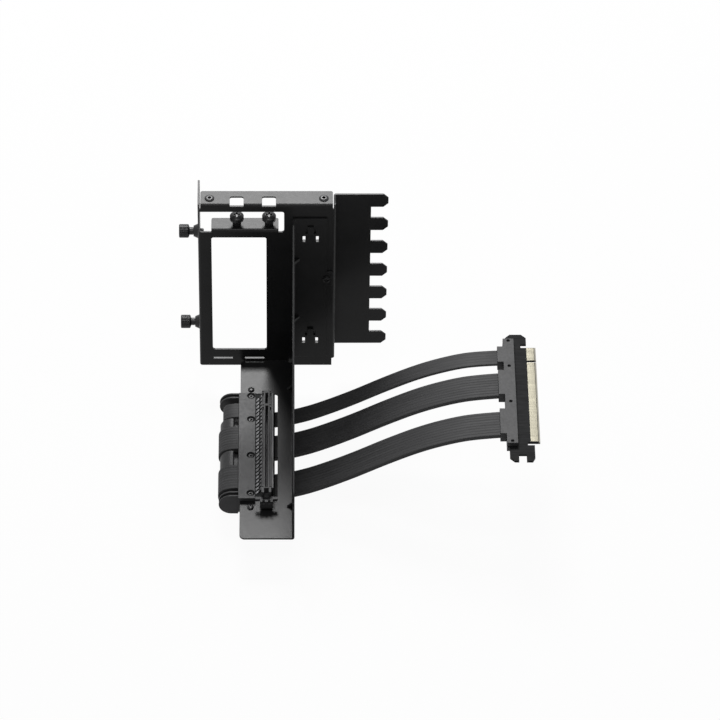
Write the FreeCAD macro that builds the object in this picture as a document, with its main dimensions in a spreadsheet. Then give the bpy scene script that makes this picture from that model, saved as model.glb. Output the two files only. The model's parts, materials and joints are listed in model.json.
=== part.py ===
"""A bracket that holds a graphics card upright in a computer case.

A folded steel bracket closes the case's card openings. A folded steel arm hooks onto it and carries a riser
slot on its tray, and three flat ribbon cables run from the slot, round a guide, to an edge plug.

X points along the tongues, Y to the rear of the case and Z up, in millimetres. While the pieces are drawn,
X = 0 is the outer face of the arm's wall, Y = 0 the front face of the bracket's plate and Z = 0 its bottom
edge. Each piece is then placed so that the origin is the centre of the comb's rear face, which lies on the
case.
"""
import FreeCAD, Part
import math
import os

import Sketcher
from FreeCAD import Rotation, Vector

SIZES = {
    # folded sheet
    "sheet_thickness": 1.2,
    "bend_radius": 0.6,
    "corner_radius": 1.4,
    # mounting bracket
    "plate_left": 60.9,
    "plate_right": 26.0,
    "plate_height": 142.8,
    "side_flange_depth": 23.0,
    "comb_setback": 15.05,
    "comb_web": 22.5,
    "tongue_pitch": 20.32,
    "tongue_height": 10.7,
    "tongue_length": 10.9,
    "tongue_chamfer": 3.2,
    "wall_foot": 6.4,
    "relief_width": 0.8,
    "relief_height": 3.4,
    "top_flange_depth": 13.0,
    "top_band": 5.8,
    "opening_height": 17.7,
    "opening_right": 6.5,
    "ledge_left": 52.4,
    "ledge_right": 10.0,
    "ledge_depth": 11.25,
    "ledge_rise": 1.85,
    "window_right": 17.7,
    "window_bottom": 14.35,
    "window_height": 100.35,
    "slit_height": 1.3,
    "slit_length": 12.4,
    "slit_bottom": 5.9,
    "slit_inset": 0.4,
    "access_width": 8.7,
    "access_rim": 4.95,
    "access_drop": 0.15,
    "rivet_inset": 7.5,
    "rivet_setback": 6.8,
    "rivet_head_radius": 3.05,
    "rivet_head_height": 0.9,
    "rivet_shank_radius": 2.1,
    "rivet_bore_radius": 1.5,
    "rivet_flare_radius": 2.6,
    "dart_pitch": 18.5,
    "dart_rise": 5.95,
    "dart_leg": 3.4,
    "dart_width": 2.2,
    # thumbscrews
    "screw_radius": 1.75,
    "relief_radius": 1.5,
    "thread_clearance": 0.08,
    "seat_gap": 0.1,
    "grip_depth": 0.45,
    "case_head_radius": 4.35,
    "case_head_length": 6.2,
    "case_neck_radius": 2.45,
    "case_neck_length": 2.9,
    "case_taper": 0.5,
    "case_shank_reach": 2.2,
    "case_screw_height": 22.3,
    "case_screw_setback": 17.6,
    "collar_length": 3.1,
    "collar_tip_radius": 3.45,
    "collar_foot_radius": 4.8,
    "card_head_radius": 4.4,
    "card_head_length": 4.6,
    "card_neck_radius": 2.7,
    "card_neck_length": 4.0,
    "card_taper": 2.2,
    "card_shank_reach": 4.0,
    "card_screw_offset": 15.97,
    "card_screw_setback": 5.6,
    "recess_span": 4.2,
    "recess_width": 1.1,
    "recess_depth": 1.4,
    # support arm
    "arm_flange_width": 20.75,
    "arm_flange_height": 132.1,
    "arm_wall_height": 127.0,
    "arm_wall_nose": 41.0,
    "arm_wall_round": 6.8,
    "tray_top": 4.5,
    "tray_width": 34.45,
    "tray_front": 156.4,
    "tray_gap": 0.4,
    "tray_corner": 3.4,
    "notch_right": 10.6,
    "notch_far": 30.4,
    "notch_near": 122.7,
    "arm_foot": 9.0,
    "lug_height": 12.0,
    "lug_reach": 3.4,
    "hook_across": 10.3,
    "hook_width": 3.9,
    "hook_upper": 117.0,
    "hook_spacing": 90.5,
    "hook_rise": 2.0,
    "hook_lip": 6.6,
    "hook_slack": 1.3,
    "hook_slot": 4.5,
    "hook_clearance": 0.15,
    "peephole_width": 1.7,
    "peephole_height": 5.0,
    "peephole_gap": 1.4,
    "lock_across": 20.55,
    "lock_height": 79.3,
    "lock_head_radius": 2.25,
    "lock_head_height": 1.5,
    "lock_shank_radius": 1.4,
    "lock_reach": 2.5,
    # riser slot
    "board_thickness": 1.5,
    "board_gap": 0.5,
    "notch_gap": 1.8,
    "slot_across": 17.6,
    "slot_width": 6.2,
    "slot_height": 11.2,
    "slot_far": 38.6,
    "slot_near": 127.6,
    "slit_width": 1.9,
    "slit_depth": 8.4,
    "slot_end_wall": 2.0,
    "slot_key_place": 12.5,
    "slot_key_width": 1.7,
    "slot_tail": 4.5,
    "lead_reach": 3.95,
    "lead_height": 0.6,
    "shield_thickness": 1.4,
    "latch_width": 8.0,
    "latch_wing": 3.0,
    "latch_length": 4.4,
    "latch_gap": 0.8,
    "latch_bottom": 1.7,
    "latch_height": 6.2,
    "latch_pin_radius": 0.9,
    "latch_tongue": 3.6,
    "latch_tongue_length": 3.0,
    "latch_play": 0.3,
    "carrier_thickness": 3.5,
    "carrier_ear": 11.0,
    "cover_width": 10.8,
    "cover_far": 32.6,
    "cover_near": 125.2,
    "cover_thickness": 3.0,
    "cover_screw_across": 5.7,
    "cover_screw_head": 2.2,
    "cover_screw_shank": 0.9,
    "cover_screw_sink": 1.3,
    "tray_screw_across": 27.6,
    "tray_screw_inset": 3.5,
    "tray_screw_setback": 7.4,
    "tray_screw_head": 2.1,
    "tray_screw_shank": 1.1,
    "hole_clearance": 0.1,
    # cable guide and ribbons
    "loop_across": 39.7,
    "loop_drop": 3.05,
    "thin_loop_drop": 0.75,
    "guide_cap_radius": 8.1,
    "guide_cap_thickness": 4.6,
    "guide_flange": 1.3,
    "guide_groove_radius": 6.0,
    "guide_rib_radius": 7.5,
    "guide_rib_gap": 3.1,
    "guide_core_radius": 1.7,
    "guide_far": 30.2,
    "guide_near": 121.0,
    "ribbon_thickness": 3.0,
    "thin_ribbon_thickness": 1.8,
    "ribbon_loop_radius": 7.1,
    "thin_ribbon_loop_radius": 4.95,
    "far_ribbon_start": 39.6,
    "far_ribbon_width": 12.0,
    "middle_ribbon_start": 60.4,
    "middle_ribbon_width": 19.6,
    "near_ribbon_start": 94.2,
    "near_ribbon_width": 20.0,
    "ribbon_end": 128.5,
    "ribbon_gap": 0.3,
    # edge plug
    "plug_middle": 52.5,
    "plug_board_thickness": 1.6,
    "plug_far": 25.4,
    "plug_near": 135.9,
    "plug_board_width": 14.9,
    "plug_board_inset": 1.6,
    "plug_corner": 3.0,
    "edge_length": 5.9,
    "edge_far": 37.2,
    "edge_near": 120.0,
    "edge_key_place": 11.35,
    "edge_key_width": 1.7,
    "edge_slit_width": 3.0,
    "edge_slit_depth": 3.6,
    "tail_reach": 2.4,
    "tail_slit": 2.4,
    "edge_notch_depth": 5.4,
    "edge_notch_width": 4.8,
    "edge_notch_setback": 7.7,
    "finger_length": 4.3,
    "finger_thickness": 0.1,
    "finger_margin": 0.4,
    "clamp_far": 31.8,
    "clamp_near": 123.2,
    "clamp_width": 6.9,
    "clamp_thickness": 3.0,
    "hood_reach": 3.8,
    "hood_margin": 0.8,
    "plug_rivet_radius": 1.05,
    "plug_rivet_sink": 1.0,
    "plug_rivet_inset": 3.6,
}
TONGUES = 7
GRIPS = 24
# Far to near along the tray, as shares of the cover's length.
COVER_SCREW_SHARES = (0.03, 0.254, 0.595, 0.95)
# The ribbons' upper surface from under the tray to the plug, X and Z in the drawing frame.
RIBBON_TOP = (
    (-28.0, -5.2),
    (-12.0, -3.3),
    (1.0, 0.0),
    (14.0, 5.0),
    (36.0, 16.5),
    (58.0, 30.0),
    (80.0, 41.9),
    (99.5, 49.2),
    (114.0, 52.6),
)
# The arm's pressed ribs, as shares of the flange's height and of the tray's length.
FLANGE_RIB_SHARES = (0.72, 0.33)
TRAY_RIB_SHARES = (0.16, 0.82)
# How much of the shorter run beside a corner of a ribbon's route its arc takes up.
ARC_SHARE = 0.45
AXIS_TURNS = {
    "Z": Rotation(),
    "X": Rotation(Vector(0, 1, 0), 90),
    "-X": Rotation(Vector(0, 1, 0), -90),
    "Y": Rotation(Vector(1, 0, 0), -90),
    "-Y": Rotation(Vector(1, 0, 0), 90),
}

doc = FreeCAD.newDocument("VerticalCardBracket")
sheet = doc.addObject("Spreadsheet::Sheet", "Sizes")
for row, (alias, number) in enumerate(SIZES.items(), start=1):
    sheet.set(f"A{row}", alias)
    sheet.set(f"B{row}", str(number))
    sheet.setAlias(f"B{row}", alias)
doc.recompute()


class Size(float):
    """A number that carries the spreadsheet expression it is worked out from."""

    def __new__(cls, number, text=None):
        self = super().__new__(cls, number)
        self.text = text or repr(float(number))
        return self

    def __add__(self, other):
        other = as_size(other)
        return Size(float(self) + float(other), f"({self.text} + {other.text})")

    def __sub__(self, other):
        other = as_size(other)
        return Size(float(self) - float(other), f"({self.text} - {other.text})")

    def __mul__(self, factor):
        return Size(float(self) * float(factor), f"({self.text} * {as_size(factor).text})")

    def __truediv__(self, divisor):
        return Size(float(self) / float(divisor), f"({self.text} / {as_size(divisor).text})")

    def __radd__(self, other):
        return as_size(other) + self

    def __rsub__(self, other):
        return as_size(other) - self

    def __rmul__(self, factor):
        return self * factor

    def __neg__(self):
        return Size(-float(self), f"(-{self.text})")


def as_size(number):
    return number if isinstance(number, Size) else Size(number)


class Sizes:
    """The sheet's cells, each by its alias."""

    def __getattr__(self, alias):
        return Size(sheet.get(alias), f"Sizes.{alias}")


s = Sizes()
THICK = s.sheet_thickness
WEB_RIGHT = s.plate_right + s.comb_web
TONGUE_TIP = WEB_RIGHT + s.tongue_length
COMB_REAR = s.comb_setback + THICK
MIDDLE_HEIGHT = s.plate_height / 2
ORIGIN = ((s.plate_right + WEB_RIGHT) / 2, COMB_REAR, MIDDLE_HEIGHT)
LEDGE_FOOT = s.plate_height - s.top_band - s.opening_height
LEDGE_TOP = LEDGE_FOOT + s.ledge_rise
TRAY_UNDER = s.tray_top - THICK
BOARD_TOP = TRAY_UNDER + s.board_thickness
CASE_SCREW_PITCH = s.tongue_pitch * 4
COVER_RIGHT = -s.slot_across - s.slot_width / 2 - s.lead_reach
RISER_LEFT = COVER_RIGHT - s.cover_width
nodes = []


def place(piece, corner):
    """Bind a piece's place to a point of the drawing frame, moved to the part's own origin."""
    for letter, at, origin in zip("xyz", corner, ORIGIN):
        piece.setExpression(f"Placement.Base.{letter}", (as_size(at) - origin).text)


def keep(piece, label):
    piece.Label = label
    nodes.append(piece)
    return piece


def bind(piece, **sizes):
    for name, size in sizes.items():
        piece.setExpression(name, as_size(size).text)


def box(x, y, z):
    """A block between pairs of planes, each axis given as (low, high)."""
    block = doc.addObject("Part::Box", "Block")
    bind(block, Length=x[1] - x[0], Width=y[1] - y[0], Height=z[1] - z[0])
    place(block, (x[0], y[0], z[0]))
    return block


def rod(radius, length, axis, start):
    bar = doc.addObject("Part::Cylinder", "Rod")
    bind(bar, Radius=radius, Height=length)
    bar.Placement = FreeCAD.Placement(Vector(), AXIS_TURNS[axis])
    place(bar, start)
    return bar


def cone(foot, tip, length, axis, start):
    taper = doc.addObject("Part::Cone", "Taper")
    bind(taper, Radius1=foot, Radius2=tip, Height=length)
    taper.Placement = FreeCAD.Placement(Vector(), AXIS_TURNS[axis])
    place(taper, start)
    return taper


def fuse(*pieces):
    whole = doc.addObject("Part::MultiFuse", "Joined")
    whole.Shapes = list(pieces)
    whole.Refine = True
    return whole


def cut(base, *tools):
    result = doc.addObject("Part::Cut", "Cut")
    result.Base = base
    result.Tool = tools[0] if len(tools) == 1 else fuse(*tools)
    result.Refine = True
    return result


def group(*pieces):
    several = doc.addObject("Part::Compound", "Group")
    several.Links = list(pieces)
    return several


def new_body(name, corner=(0, 0, 0), axis="Z"):
    body = doc.addObject("PartDesign::Body", name)
    body.Placement = FreeCAD.Placement(Vector(), AXIS_TURNS[axis])
    place(body, corner)
    return body


def outline(body, plane, offset, *loops):
    """A sketch of closed outlines on an origin plane, each corner bound to its two coordinates."""
    sketch = body.newObject("Sketcher::SketchObject", "Outline")
    origin = next(item for item in body.Origin.OriginFeatures if item.Role == f"{plane}_Plane")
    sketch.AttachmentSupport = [(origin, "")]
    sketch.MapMode = "FlatFace"
    sketch.setExpression("AttachmentOffset.Base.z", as_size(offset).text)
    for loop in loops:
        first = sketch.GeometryCount
        count = len(loop)
        for here, there in zip(loop, loop[1:] + loop[:1]):
            sketch.addGeometry(Part.LineSegment(Vector(*map(float, here), 0), Vector(*map(float, there), 0)))
        for index in range(count):
            sketch.addConstraint(
                Sketcher.Constraint("Coincident", first + index, 2, first + (index + 1) % count, 1)
            )
        for index, corner in enumerate(loop):
            for kind, coordinate in zip(("DistanceX", "DistanceY"), corner):
                rule = Sketcher.Constraint(kind, -1, 1, first + index, 1, float(coordinate))
                number = sketch.addConstraint(rule)
                sketch.setExpression(f"Constraints[{number}]", as_size(coordinate).text)
    return sketch


def rectangle(x, y):
    return [(x[0], y[0]), (x[1], y[0]), (x[1], y[1]), (x[0], y[1])]


def pad(body, sketch, length, reverse=False):
    feature = body.newObject("PartDesign::Pad", "Pad")
    feature.Profile = sketch
    feature.Reversed = reverse
    bind(feature, Length=length)
    doc.recompute()
    return feature


def pocket(body, sketch, depth):
    """Cut an outline to the same depth on both sides of its plane."""
    before = body.Shape.Volume
    feature = body.newObject("PartDesign::Pocket", "Pocket")
    feature.Profile = sketch
    feature.SideType = "Symmetric"
    bind(feature, Length=2 * as_size(depth))
    doc.recompute()
    assert body.Shape.Volume < before, f"{body.Name}: a pocket cut nothing"
    return feature


def drill(body, radius, plane, offset, centres, depth):
    sketch = body.newObject("Sketcher::SketchObject", "Holes")
    origin = next(item for item in body.Origin.OriginFeatures if item.Role == f"{plane}_Plane")
    sketch.AttachmentSupport = [(origin, "")]
    sketch.MapMode = "FlatFace"
    sketch.setExpression("AttachmentOffset.Base.z", as_size(offset).text)
    for index, centre in enumerate(centres):
        place_at = Vector(float(centre[0]), float(centre[1]), 0)
        sketch.addGeometry(Part.Circle(place_at, Vector(0, 0, 1), float(radius)))
        for kind, coordinate in zip(("DistanceX", "DistanceY"), centre):
            number = sketch.addConstraint(Sketcher.Constraint(kind, -1, 1, index, 3, float(coordinate)))
            sketch.setExpression(f"Constraints[{number}]", as_size(coordinate).text)
        number = sketch.addConstraint(Sketcher.Constraint("Radius", index, float(radius)))
        sketch.setExpression(f"Constraints[{number}]", as_size(radius).text)
    return pocket(body, sketch, depth)


def round_edges(body, along, spots, radius):
    """Round the edges that run along an axis through the given spots of the plane across it."""
    doc.recompute()
    tip = body.Tip
    across = [number for number in range(3) if "XYZ"[number] != along]
    names = []
    for number, edge in enumerate(tip.Shape.Edges, start=1):
        ends = [vertex.Point for vertex in edge.Vertexes]
        if len(ends) != 2:
            continue
        for spot in spots:
            if all(abs(end[axis] - float(at)) < 0.01 for end in ends for axis, at in zip(across, spot)):
                names.append(f"Edge{number}")
    assert names, f"{body.Name}: no edge along {along} to round"
    feature = body.newObject("PartDesign::Fillet", "Round")
    feature.Base = (tip, names)
    bind(feature, Radius=radius)
    doc.recompute()
    return feature


def make_mounting_bracket():
    """The folded sheet on the case: plate, side flange, top flange, card ledge, side wall and comb."""
    body = new_body("MountingBracket")
    left, right, top = -s.plate_left, s.plate_right, s.plate_height
    inner, outer = s.bend_radius, s.bend_radius + THICK
    profile = [
        (left, s.side_flange_depth),
        (left, 0),
        (right, 0),
        (right, s.comb_setback),
        (TONGUE_TIP, s.comb_setback),
        (TONGUE_TIP, COMB_REAR),
        (right - THICK, COMB_REAR),
        (right - THICK, THICK),
        (left + THICK, THICK),
        (left + THICK, s.side_flange_depth),
    ]
    pad(body, outline(body, "XY", 0, profile), top)
    round_edges(body, "Z", [profile[1], profile[2], profile[6]], outer)
    round_edges(body, "Z", [profile[3], profile[7], profile[8]], inner)

    # The comb: everything beyond the web is cut away between the tongues.
    gaps = []
    lowest = MIDDLE_HEIGHT - s.tongue_pitch * (TONGUES - 1) / 2 - s.tongue_height / 2
    highest = MIDDLE_HEIGHT + s.tongue_pitch * (TONGUES - 1) / 2 + s.tongue_height / 2
    beyond = TONGUE_TIP + s.tongue_length
    shoulder = TONGUE_TIP - s.tongue_chamfer
    gaps.append([
        (right, lowest - top), (beyond, lowest - top), (beyond, lowest + s.tongue_chamfer),
        (TONGUE_TIP, lowest + s.tongue_chamfer), (shoulder, lowest), (right, lowest),
    ])
    gaps.append([
        (right, highest), (shoulder, highest), (TONGUE_TIP, highest - s.tongue_chamfer),
        (beyond, highest - s.tongue_chamfer), (beyond, highest + top), (right, highest + top),
    ])
    for index in range(TONGUES - 1):
        low = lowest + s.tongue_pitch * index + s.tongue_height
        high = lowest + s.tongue_pitch * (index + 1)
        gaps.append([
            (WEB_RIGHT, low), (shoulder, low), (TONGUE_TIP, low - s.tongue_chamfer),
            (beyond, low - s.tongue_chamfer), (beyond, high + s.tongue_chamfer),
            (TONGUE_TIP, high + s.tongue_chamfer), (shoulder, high), (WEB_RIGHT, high),
        ])
    pocket(body, outline(body, "XZ", -COMB_REAR, *gaps), THICK + s.comb_setback / 2)

    # The side wall starts above the plate's foot and slopes down to the comb. Slots relieve the top corners.
    foot = rectangle((right - outer, right), (-s.wall_foot, s.wall_foot))
    pocket(body, outline(body, "XZ", 0, foot), COMB_REAR + THICK)
    slope = [
        (outer, top + THICK), (outer, top), (s.comb_setback, highest),
        (COMB_REAR + THICK, highest), (COMB_REAR + THICK, top + THICK),
    ]
    pocket(body, outline(body, "YZ", right, slope), outer)
    flange_left, flange_right = left + outer, right - outer
    reliefs = [
        rectangle((flange_left - s.relief_width, flange_left), (top - s.relief_height, top + THICK)),
        rectangle((flange_right, flange_right + s.relief_width), (top - s.relief_height, top + THICK)),
    ]
    pocket(body, outline(body, "XZ", 0, *reliefs), THICK * 2)

    # Card window, opening above the ledge, and the slits for the tips of the card's brackets.
    window_top = s.window_bottom + s.window_height
    opening_left = left + THICK
    cuts = [
        rectangle((-s.ledge_left, -s.window_right), (s.window_bottom, window_top)),
        rectangle((opening_left, -s.opening_right), (LEDGE_FOOT, top - s.top_band)),
    ]
    for index in range(2):
        slit_left = -s.ledge_left + s.slit_inset + s.tongue_pitch * index
        cuts.append(rectangle(
            (slit_left, slit_left + s.slit_length), (s.slit_bottom, s.slit_bottom + s.slit_height)
        ))
    pocket(body, outline(body, "XZ", 0, *cuts), THICK * 2)
    corners = [(x, z) for x in (-s.ledge_left, -s.window_right) for z in (s.window_bottom, window_top)]
    corners += [(-s.opening_right, LEDGE_FOOT), (-s.opening_right, top - s.top_band)]
    round_edges(body, "Y", corners, s.corner_radius)

    # Top flange and card ledge, both folded to the rear.
    add_fold(body, flange_left, flange_right, top, top - s.top_band / 2, s.top_flange_depth)
    add_fold(body, -s.ledge_left, -s.ledge_right, LEDGE_TOP, LEDGE_FOOT - THICK, s.ledge_depth)
    rear = [(x, s.top_flange_depth) for x in (flange_left, flange_right)]
    rear += [(x, s.ledge_depth) for x in (-s.ledge_left, -s.ledge_right)]
    round_edges(body, "Z", rear, s.corner_radius)

    # Openings in the top flange above the card screws, carried over the fold.
    access = []
    for across in card_screw_places():
        side = (across - s.access_width / 2, across + s.access_width / 2)
        access.append(rectangle(side, (-THICK, s.top_flange_depth - s.access_rim)))
    pocket(body, outline(body, "XY", top, *access), THICK + s.access_drop)
    corners = [corner for loop in access for corner in loop[2:]]
    round_edges(body, "Z", corners, s.corner_radius)

    # Screw, rivet and peep holes.
    thread = s.screw_radius + s.thread_clearance
    drill(body, thread, "XY", LEDGE_TOP, [(x, s.card_screw_setback) for x in card_screw_places()], THICK * 2)
    drill(body, s.rivet_shank_radius, "XY", top, rivet_places(), THICK * 2)
    case_holes = [(s.case_screw_setback, z) for z in case_screw_heights()]
    drill(body, thread, "YZ", left, case_holes, THICK * 2)
    drill(body, s.lock_shank_radius, "XZ", 0, [(s.lock_across, s.lock_height)], THICK * 2)
    pocket(body, outline(body, "XZ", 0, *peepholes()), THICK * 2)

    # Hooks that the arm hangs on: a neck through the arm's flange and a lip up its front.
    hook_front = THICK + s.hook_clearance
    for height in hook_heights():
        foot = height + s.hook_rise
        neck = [
            (THICK / 2, foot), (-hook_front - THICK, foot), (-hook_front - THICK, foot + s.hook_lip),
            (-hook_front, foot + s.hook_lip), (-hook_front, foot + THICK), (THICK / 2, foot + THICK),
        ]
        pad(body, outline(body, "YZ", s.hook_across - s.hook_width / 2, neck), s.hook_width)

    # Pressed ribs that stiffen the fold of the side wall.
    for index in range(TONGUES - 1):
        height = MIDDLE_HEIGHT + s.dart_rise + s.dart_pitch * (index - (TONGUES - 2) / 2)
        corner = right - THICK
        rib = [(corner, THICK), (corner - s.dart_leg, THICK), (corner, THICK + s.dart_leg)]
        pad(body, outline(body, "XY", height - s.dart_width / 2, rib), s.dart_width)
    return keep(body, "mounting_bracket")


def add_fold(body, low, high, top, foot, depth):
    """A flange folded to the rear at the top of a stretch of the plate."""
    profile = [(0, foot), (0, top), (depth, top), (depth, top - THICK), (THICK, top - THICK), (THICK, foot)]
    pad(body, outline(body, "YZ", low, profile), high - low)
    round_edges(body, "X", [profile[1]], s.bend_radius + THICK)
    round_edges(body, "X", [profile[4]], s.bend_radius)


def card_screw_places():
    right = -s.card_screw_offset
    return [right - s.tongue_pitch, right]


def case_screw_heights():
    return [s.case_screw_height, s.case_screw_height + CASE_SCREW_PITCH]


def rivet_places():
    depth = s.top_flange_depth - s.rivet_setback
    return [(-s.plate_left + s.rivet_inset, depth), (s.plate_right - s.rivet_inset, depth)]


def hook_heights():
    return [s.hook_upper - s.hook_spacing, s.hook_upper]


def peepholes():
    """Narrow windows on both sides below each hook, through the plate and the arm's flange."""
    windows = []
    reach = s.hook_width / 2 + s.peephole_gap
    for height in hook_heights():
        span = (height - s.peephole_height, height)
        windows.append(rectangle((s.hook_across - reach - s.peephole_width, s.hook_across - reach), span))
        windows.append(rectangle((s.hook_across + reach, s.hook_across + reach + s.peephole_width), span))
    return windows


def make_support_arm():
    """The folded sheet that hangs on the bracket: rear flange, gusset wall and tray."""
    body = new_body("SupportArm")
    inner, outer = s.bend_radius, s.bend_radius + THICK
    front = -s.tray_front
    profile = [
        (-THICK, 0), (-THICK, front), (0, front), (0, -THICK),
        (s.arm_flange_width, -THICK), (s.arm_flange_width, 0),
    ]
    pad(body, outline(body, "XY", TRAY_UNDER, profile), s.arm_flange_height - TRAY_UNDER)
    round_edges(body, "Z", [profile[0]], outer)
    round_edges(body, "Z", [profile[3]], inner)
    above = s.arm_flange_height * 2
    slope = [(-outer, s.arm_wall_height), (front, s.arm_wall_nose), (front - outer, s.arm_wall_nose),
             (front - outer, above), (-outer, above)]
    pocket(body, outline(body, "YZ", 0, slope), THICK * 2)
    round_edges(body, "X", [slope[1]], s.arm_wall_round)
    under_flange = rectangle((-outer * 2, s.arm_flange_width * 2), (-s.arm_foot, s.arm_foot))
    pocket(body, outline(body, "XZ", 0, under_flange), outer)

    # The tray, folded to the left at the wall's foot, with the notch that the riser slot stands in.
    tray = [
        (0, -s.tray_gap - outer), (0, front), (-s.tray_width, front), (-s.tray_width, -s.notch_near),
        (-s.notch_right, -s.notch_near), (-s.notch_right, -s.notch_far), (-s.tray_width, -s.notch_far),
        (-s.tray_width, -s.tray_gap), (-outer * 2, -s.tray_gap), (-outer * 2, -s.tray_gap - outer),
    ]
    pad(body, outline(body, "XY", TRAY_UNDER, tray), THICK)
    round_edges(body, "Y", [(0, TRAY_UNDER)], outer)
    round_edges(body, "Y", [(-THICK, s.tray_top)], inner)
    round_edges(body, "Z", [tray[2], tray[7]], s.tray_corner)
    round_edges(body, "Z", [tray[3], tray[4], tray[5], tray[6]], s.corner_radius)

    # A lug for the lock screw on the flange, and its holes.
    lug = rectangle(
        (s.arm_flange_width - THICK, s.arm_flange_width + s.lug_reach),
        (s.lock_height - s.lug_height / 2, s.lock_height + s.lug_height / 2),
    )
    pad(body, outline(body, "XZ", 0, lug), THICK)
    drill(body, s.lock_shank_radius, "XZ", 0, [(s.lock_across, s.lock_height)], THICK * 2)
    slot_half = s.hook_width / 2 + s.hook_slack
    slot_x = (s.hook_across - slot_half, s.hook_across + slot_half)
    slots = []
    for height in hook_heights():
        floor = height + s.hook_rise - s.hook_clearance
        slots.append(rectangle(slot_x, (floor, floor + s.hook_slot)))
    pocket(body, outline(body, "XZ", 0, *peepholes(), *slots), THICK * 2)
    screw_hole = s.tray_screw_shank + s.hole_clearance
    drill(body, screw_hole, "XY", s.tray_top, [(x, y) for x, y in tray_screw_places()], THICK * 2)

    # Pressed ribs across the two folds.
    for share in FLANGE_RIB_SHARES:
        rib = [(0, -THICK), (s.dart_leg, -THICK), (0, -THICK - s.dart_leg)]
        pad(body, outline(body, "XY", s.arm_flange_height * share, rib), s.dart_width)
    for share in TRAY_RIB_SHARES:
        rib = [(-THICK, s.tray_top), (-THICK - s.dart_leg, s.tray_top), (-THICK, s.tray_top + s.dart_leg)]
        pad(body, outline(body, "XZ", s.tray_front * share, rib), s.dart_width)
    return keep(body, "support_arm")


def tray_screw_places():
    return [
        (-s.tray_screw_across, -s.notch_far + s.tray_screw_inset),
        (-s.tray_screw_across, -s.notch_near - s.tray_screw_setback),
    ]


def make_thumbscrew(label, corner, axis, head, neck, reach, relief=None):
    """A knurled screw. It is drawn with its seat at Z = 0 and its head above.

    A captive screw has no thread on the relief, the stretch inside its collar. The others have a cross
    recess.
    """
    head_radius, head_length = head
    neck_radius, neck_length, taper = neck
    body = new_body("Thumbscrew", corner, axis)
    edge = s.grip_depth
    top = neck_length + head_length
    plain = [(s.screw_radius, -relief), (s.relief_radius, -relief), (s.relief_radius, 0)] if relief else []
    profile = [
        (0, -reach), (s.screw_radius - edge, -reach), (s.screw_radius, -reach + edge),
        *(plain or [(s.screw_radius, 0)]),
        (neck_radius, 0), (neck_radius, neck_length - taper), (head_radius - edge, neck_length),
        (head_radius, neck_length + edge), (head_radius, top - edge), (head_radius - edge, top), (0, top),
    ]
    turned = body.newObject("PartDesign::Revolution", "Turned")
    turned.Profile = outline(body, "XZ", 0, profile)
    turned.ReferenceAxis = (turned.Profile[0], ["V_Axis"])
    turned.Angle = 360
    doc.recompute()
    if not relief:
        span, width = s.recess_span / 2, s.recess_width / 2
        pocket(body, outline(body, "XY", top, rectangle((-span, span), (-width, width))), s.recess_depth)
        pocket(body, outline(body, "XY", top, rectangle((-width, width), (-span, span))), s.recess_depth)
    rim = head_radius + edge
    groove = [(head_radius - edge, 0), (rim, -edge), (rim, edge)]
    first = pocket(body, outline(body, "XY", neck_length + head_length / 2, groove), head_length)
    grips = body.newObject("PartDesign::PolarPattern", "Grips")
    grips.Originals = [first]
    axis_z = next(item for item in body.Origin.OriginFeatures if item.Role == "Z_Axis")
    grips.Axis = (axis_z, [""])
    grips.Angle = 360
    grips.Occurrences = GRIPS
    body.Tip = grips
    doc.recompute()
    return keep(body, label)


def make_thumbscrews():
    """Two screws that clamp the card on the ledge, and two in collars that fasten the bracket to the case."""
    card_head = (s.card_head_radius, s.card_head_length)
    card_neck = (s.card_neck_radius, s.card_neck_length, s.card_taper)
    card_reach = THICK + s.card_shank_reach
    for side, across in zip(("left", "right"), card_screw_places()):
        seat = (across, s.card_screw_setback, LEDGE_TOP + s.seat_gap)
        make_thumbscrew(f"card_thumbscrew_{side}", seat, "Z", card_head, card_neck, card_reach)
    case_head = (s.case_head_radius, s.case_head_length)
    case_neck = (s.case_neck_radius, s.case_neck_length, s.case_taper)
    relief = s.seat_gap + s.collar_length + THICK
    case_reach = relief + s.case_shank_reach
    for level, height in zip(("lower", "upper"), case_screw_heights()):
        seat = (-s.plate_left - s.collar_length - s.seat_gap, s.case_screw_setback, height)
        make_thumbscrew(f"case_thumbscrew_{level}", seat, "-X", case_head, case_neck, case_reach, relief)
        foot = (-s.plate_left, s.case_screw_setback, height)
        taper = cone(s.collar_foot_radius, s.collar_tip_radius, s.collar_length, "-X", foot)
        bore = rod(s.screw_radius + s.thread_clearance, s.collar_length, "-X", foot)
        keep(cut(taper, bore), f"case_collar_{level}")


def make_fasteners():
    """Hollow rivets in the top flange, and the screw that locks the arm."""
    rivets = []
    for across, depth in rivet_places():
        under = s.plate_height - THICK - s.rivet_head_height
        whole = fuse(
            rod(s.rivet_head_radius, s.rivet_head_height, "Z", (across, depth, s.plate_height)),
            rod(s.rivet_shank_radius, THICK + 2 * s.rivet_head_height, "Z", (across, depth, under)),
            rod(s.rivet_flare_radius, s.rivet_head_height, "Z", (across, depth, under)),
        )
        bore = rod(s.rivet_bore_radius, THICK + 2 * s.rivet_head_height, "Z", (across, depth, under))
        rivets.append(cut(whole, bore))
    keep(group(*rivets), "flange_rivets")

    face = (s.lock_across, -THICK, s.lock_height)
    head = rod(s.lock_head_radius, s.lock_head_height, "-Y", face)
    shank = rod(s.lock_shank_radius, 2 * THICK + s.lock_reach, "Y", face)
    span, width = s.lock_shank_radius, s.recess_width / 2
    top = -THICK - s.lock_head_height
    depth = (top - THICK, top + s.lock_head_height / 2)
    x, z = s.lock_across, s.lock_height
    level = box((x - span, x + span), depth, (z - width, z + width))
    upright = box((x - width, x + width), depth, (z - span, z + span))
    keep(cut(fuse(head, shank), level, upright), "arm_screw")


def cover_screw_places():
    across = COVER_RIGHT - s.cover_screw_across / 2
    length = s.cover_near - s.cover_far
    return [(across, -s.cover_far - length * share) for share in COVER_SCREW_SHARES]


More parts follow.
